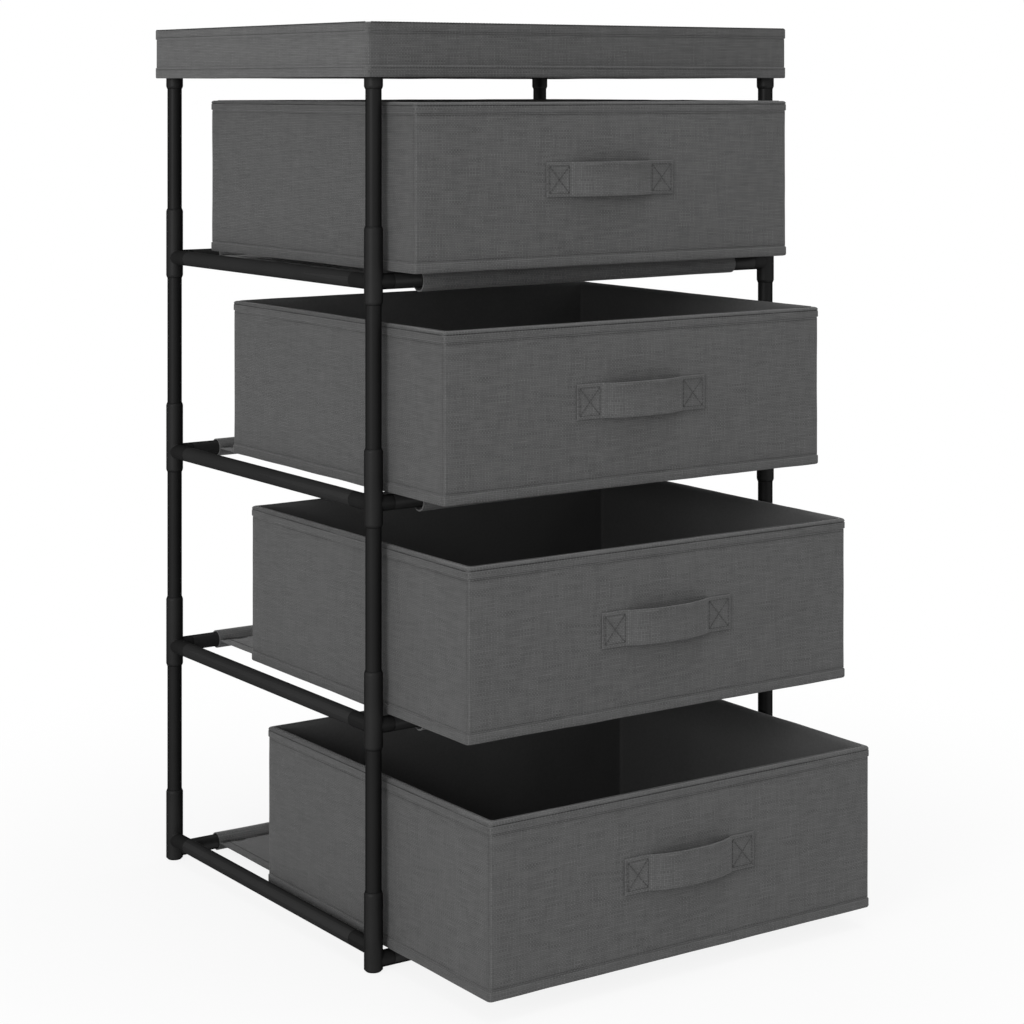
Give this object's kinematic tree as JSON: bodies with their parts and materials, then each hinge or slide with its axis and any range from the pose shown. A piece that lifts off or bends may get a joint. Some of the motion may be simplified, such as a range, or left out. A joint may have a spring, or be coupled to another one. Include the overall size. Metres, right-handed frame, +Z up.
{
  "type": "basket storage rack",
  "caption": "Open tube-frame rack with moulded corner fittings, fabric shelves, a fabric cover and pull-out fabric baskets with bowed strap handles.",
  "frame": {"origin": "on the floor, under the middle of the whole rack with its baskets at rest, partly pulled out", "axes": "+Z up, +Y towards the rack's back, so the baskets pull out along -Y, +X to the right seen from the front"},
  "size_m": [0.443, 0.5278, 0.769],
  "materials": {
    "tube_steel": "satin black powder coat",
    "fitting_plastic": "black moulded plastic, fine satin",
    "cover_fabric": "anthracite plain weave, stiff",
    "shelf_fabric": "anthracite plain weave, tight",
    "basket_fabric": "anthracite plain weave, stiff",
    "lining_fabric": "black non-woven lining",
    "base_board_cover": "stiff board wrapped in black lining",
    "board": "raw fibreboard, hidden"
  },
  "bodies": {
    "rack": {"top_fittings": "fitting_plastic", "corner_fittings_1": "fitting_plastic", "corner_fittings_2": "fitting_plastic", "corner_fittings_3": "fitting_plastic", "foot_fittings": "fitting_plastic", "post_tubes_front_left": "tube_steel", "post_tubes_front_right": "tube_steel", "post_tubes_back_left": "tube_steel", "post_tubes_back_right": "tube_steel", "side_rails_0": "tube_steel", "side_rails_1": "tube_steel", "side_rails_2": "tube_steel", "side_rails_3": "tube_steel", "side_rails_4": "tube_steel", "cross_rails_0": "tube_steel", "cross_rails_1": "tube_steel", "cross_rails_2": "tube_steel", "cross_rails_3": "tube_steel", "cross_rails_4": "tube_steel", "shelf_sheet_1": "shelf_fabric", "shelf_sheet_2": "shelf_fabric", "shelf_sheet_3": "shelf_fabric", "shelf_sheet_4": "shelf_fabric", "fabric_cover": "cover_fabric", "top_board": "board"},
    "basket_1": {"basket_1_body": "basket_fabric", "basket_1_lining": "lining_fabric", "basket_1_wall_boards": "board", "basket_1_base_board": "base_board_cover", "basket_1_handle": "basket_fabric"},
    "basket_2": {"basket_2_body": "basket_fabric", "basket_2_lining": "lining_fabric", "basket_2_wall_boards": "board", "basket_2_base_board": "base_board_cover", "basket_2_handle": "basket_fabric"},
    "basket_3": {"basket_3_body": "basket_fabric", "basket_3_lining": "lining_fabric", "basket_3_wall_boards": "board", "basket_3_base_board": "base_board_cover", "basket_3_handle": "basket_fabric"},
    "basket_4": {"basket_4_body": "basket_fabric", "basket_4_lining": "lining_fabric", "basket_4_wall_boards": "board", "basket_4_base_board": "base_board_cover", "basket_4_handle": "basket_fabric"}
  },
  "joints": [
    {"name": "basket_1_slide", "type": "slide", "parent": "rack", "child": "basket_1", "axis": [0, -1, 0], "range_m": [-0.03585, 0.3338]},
    {"name": "basket_2_slide", "type": "slide", "parent": "rack", "child": "basket_2", "axis": [0, -1, 0], "range_m": [-0.07845, 0.2912]},
    {"name": "basket_3_slide", "type": "slide", "parent": "rack", "child": "basket_3", "axis": [0, -1, 0], "range_m": [-0.11275, 0.2569]},
    {"name": "basket_4_slide", "type": "slide", "parent": "rack", "child": "basket_4", "axis": [0, -1, 0], "range_m": [-0.14295, 0.2267]}
  ]
}
